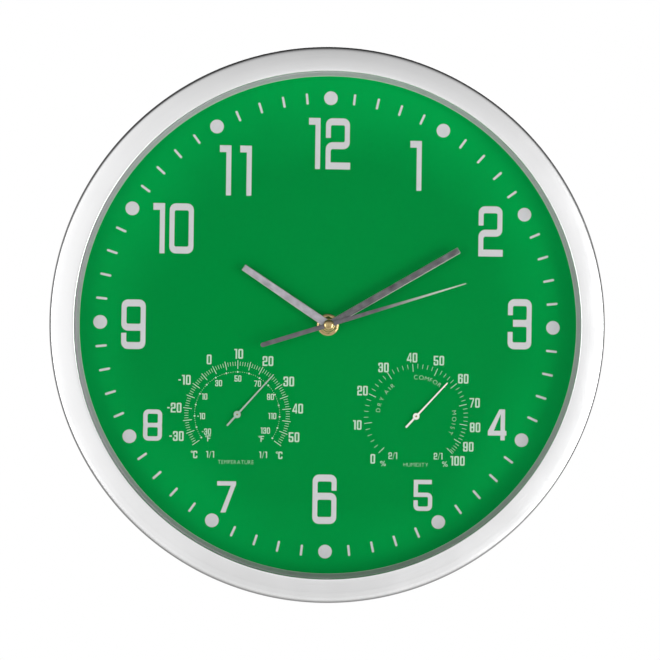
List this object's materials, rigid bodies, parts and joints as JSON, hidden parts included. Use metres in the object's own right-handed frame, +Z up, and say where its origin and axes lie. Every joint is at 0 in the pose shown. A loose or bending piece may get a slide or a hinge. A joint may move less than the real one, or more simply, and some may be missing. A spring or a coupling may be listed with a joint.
{
  "type": "wall clock",
  "caption": "Round wall clock with satin aluminium bezel, green dial, three hands, and a thermometer and hygrometer set in the dial; quartz movement behind",
  "frame": {"origin": "middle of the hanging hole, in the wall plane, above the dial's centre", "axes": "+Z up, the dial faces -Y, +X to the right as the clock is read"},
  "size_m": [0.35, 0.04, 0.35],
  "materials": {
    "satin_aluminium": "fine satin, spun",
    "clear_glass": "polished, flat",
    "grey_ring": "smooth, semi matt",
    "dial_green": "even matt paint with pale grey print",
    "case_plastic": "fine moulded texture",
    "screw_steel": "zinc plated",
    "hanger_steel": "zinc plated sheet",
    "movement_plastic": "moulded",
    "cover_plastic": "moulded",
    "plate_plastic": "moulded",
    "brass": "turned, polished",
    "black_rubber": "smooth",
    "lamination_steel": "stamped",
    "bobbin_plastic": "moulded",
    "copper_wire": "enamelled copper wire, wound",
    "board": "printed circuit board",
    "crystal_can": "plated can",
    "chip_resin": "potting drop",
    "contact_metal": "nickel plated strip",
    "magnet": "sintered",
    "gear_plastic": "moulded, natural",
    "hand_satin": "satin, bare metal",
    "hand_dark": "satin, bare metal",
    "cell_steel": "plated can",
    "cell_sleeve": "shrink film, plain",
    "cup_steel": "tin plated",
    "bimetal": "rolled bimetal strip",
    "humidity_strip": "coated metal strip",
    "arbor_brass": "turned",
    "pointer_white": "matt white"
  },
  "bodies": {
    "body": {"bezel": "satin_aluminium", "glass": "clear_glass", "spacer_ring": "grey_ring", "dial": "dial_green", "back_case": "case_plastic", "case_screws": "screw_steel", "hanger_screws": "screw_steel", "movement_screws": "screw_steel", "hanger_plate": "hanger_steel", "movement_case": "movement_plastic", "movement_cover": "cover_plastic", "train_plate_rear": "plate_plastic", "train_plate_middle": "plate_plastic", "train_plate_front": "plate_plastic", "threaded_bush": "brass", "brass_washer": "brass", "dial_nut": "brass", "rubber_washer": "black_rubber", "stator": "lamination_steel", "coil_core": "lamination_steel", "coil_bobbin": "bobbin_plastic", "coil_winding": "copper_wire", "circuit_board": "board", "quartz_crystal": "crystal_can", "clock_chip": "chip_resin", "contact_positive": "contact_metal", "contact_negative": "contact_metal", "thermometer_cup": "cup_steel", "hygrometer_cup": "cup_steel", "thermometer_coil": "bimetal", "hygrometer_coil": "humidity_strip"},
    "second_hand_set": {"second_wheel": "gear_plastic", "second_hand": "hand_dark", "second_cap": "brass"},
    "third_wheel_set": {"third_wheel": "gear_plastic"},
    "centre_wheel_set": {"centre_wheel": "gear_plastic"},
    "intermediate_set": {"intermediate_wheel": "gear_plastic"},
    "rotor": {"rotor_magnet": "magnet", "rotor_pinion": "gear_plastic"},
    "minute_hand_set": {"minute_arbor": "brass", "minute_hand": "hand_dark"},
    "setting_set": {"minute_wheel": "gear_plastic", "setting_knob": "gear_plastic"},
    "hour_hand_set": {"hour_wheel": "gear_plastic", "hour_hand": "hand_satin"},
    "thermometer_needle": {"thermometer_arbor": "arbor_brass", "thermometer_pointer": "pointer_white"},
    "hygrometer_needle": {"hygrometer_arbor": "arbor_brass", "hygrometer_pointer": "pointer_white"},
    "battery": {"battery_cell": "cell_steel", "battery_sleeve": "cell_sleeve"}
  },
  "joints": [
    {"name": "second_hand_turn", "type": "hinge", "parent": "body", "child": "second_hand_set", "pos_m": [0, -0.02, -0.12], "axis": [0, 1, 0], "continuous": true},
    {"name": "third_wheel_turn", "type": "hinge", "parent": "body", "child": "third_wheel_set", "pos_m": [-0.00846, -0.02, -0.11692], "axis": [0, 1, 0], "continuous": true},
    {"name": "centre_wheel_turn", "type": "hinge", "parent": "body", "child": "centre_wheel_set", "pos_m": [0, -0.02, -0.12], "axis": [0, 1, 0], "continuous": true},
    {"name": "intermediate_wheel_turn", "type": "hinge", "parent": "body", "child": "intermediate_set", "pos_m": [0.00122, -0.02, -0.11311], "axis": [0, 1, 0], "continuous": true},
    {"name": "rotor_turn", "type": "hinge", "parent": "body", "child": "rotor", "pos_m": [0.0003, -0.02, -0.10791], "axis": [0, 1, 0], "continuous": true},
    {"name": "minute_hand_turn", "type": "hinge", "parent": "body", "child": "minute_hand_set", "pos_m": [0, -0.02, -0.12], "axis": [0, 1, 0], "continuous": true},
    {"name": "setting_knob_turn", "type": "hinge", "parent": "body", "child": "setting_set", "pos_m": [0.00902, -0.02, -0.11672], "axis": [0, 1, 0], "continuous": true},
    {"name": "hour_hand_turn", "type": "hinge", "parent": "body", "child": "hour_hand_set", "pos_m": [0, -0.02, -0.12], "axis": [0, 1, 0], "continuous": true},
    {"name": "thermometer_needle_turn", "type": "hinge", "parent": "body", "child": "thermometer_needle", "pos_m": [-0.057, -0.02, -0.1776], "axis": [0, 1, 0], "range_deg": [-166.7, 83.3], "stiffness_Nm_per_rad": 0.00002, "deforming": ["thermometer_coil"]},
    {"name": "hygrometer_needle_turn", "type": "hinge", "parent": "body", "child": "hygrometer_needle", "pos_m": [0.057, -0.02, -0.1776], "axis": [0, 1, 0], "range_deg": [-177.5, 92.5], "stiffness_Nm_per_rad": 0.00002, "deforming": ["hygrometer_coil"]},
    {"name": "battery_slide", "type": "slide", "parent": "body", "child": "battery", "axis": [0, 1, 0], "range_m": [0, 0.03]}
  ],
  "couplings": [
    {"joint": "third_wheel_turn", "follows": "second_hand_turn", "ratio": -0.125},
    {"joint": "centre_wheel_turn", "follows": "second_hand_turn", "ratio": 0.016667},
    {"joint": "intermediate_wheel_turn", "follows": "second_hand_turn", "ratio": -6},
    {"joint": "rotor_turn", "follows": "second_hand_turn", "ratio": 30},
    {"joint": "setting_knob_turn", "follows": "minute_hand_turn", "ratio": -0.33333},
    {"joint": "hour_hand_turn", "follows": "minute_hand_turn", "ratio": 0.083333}
  ]
}
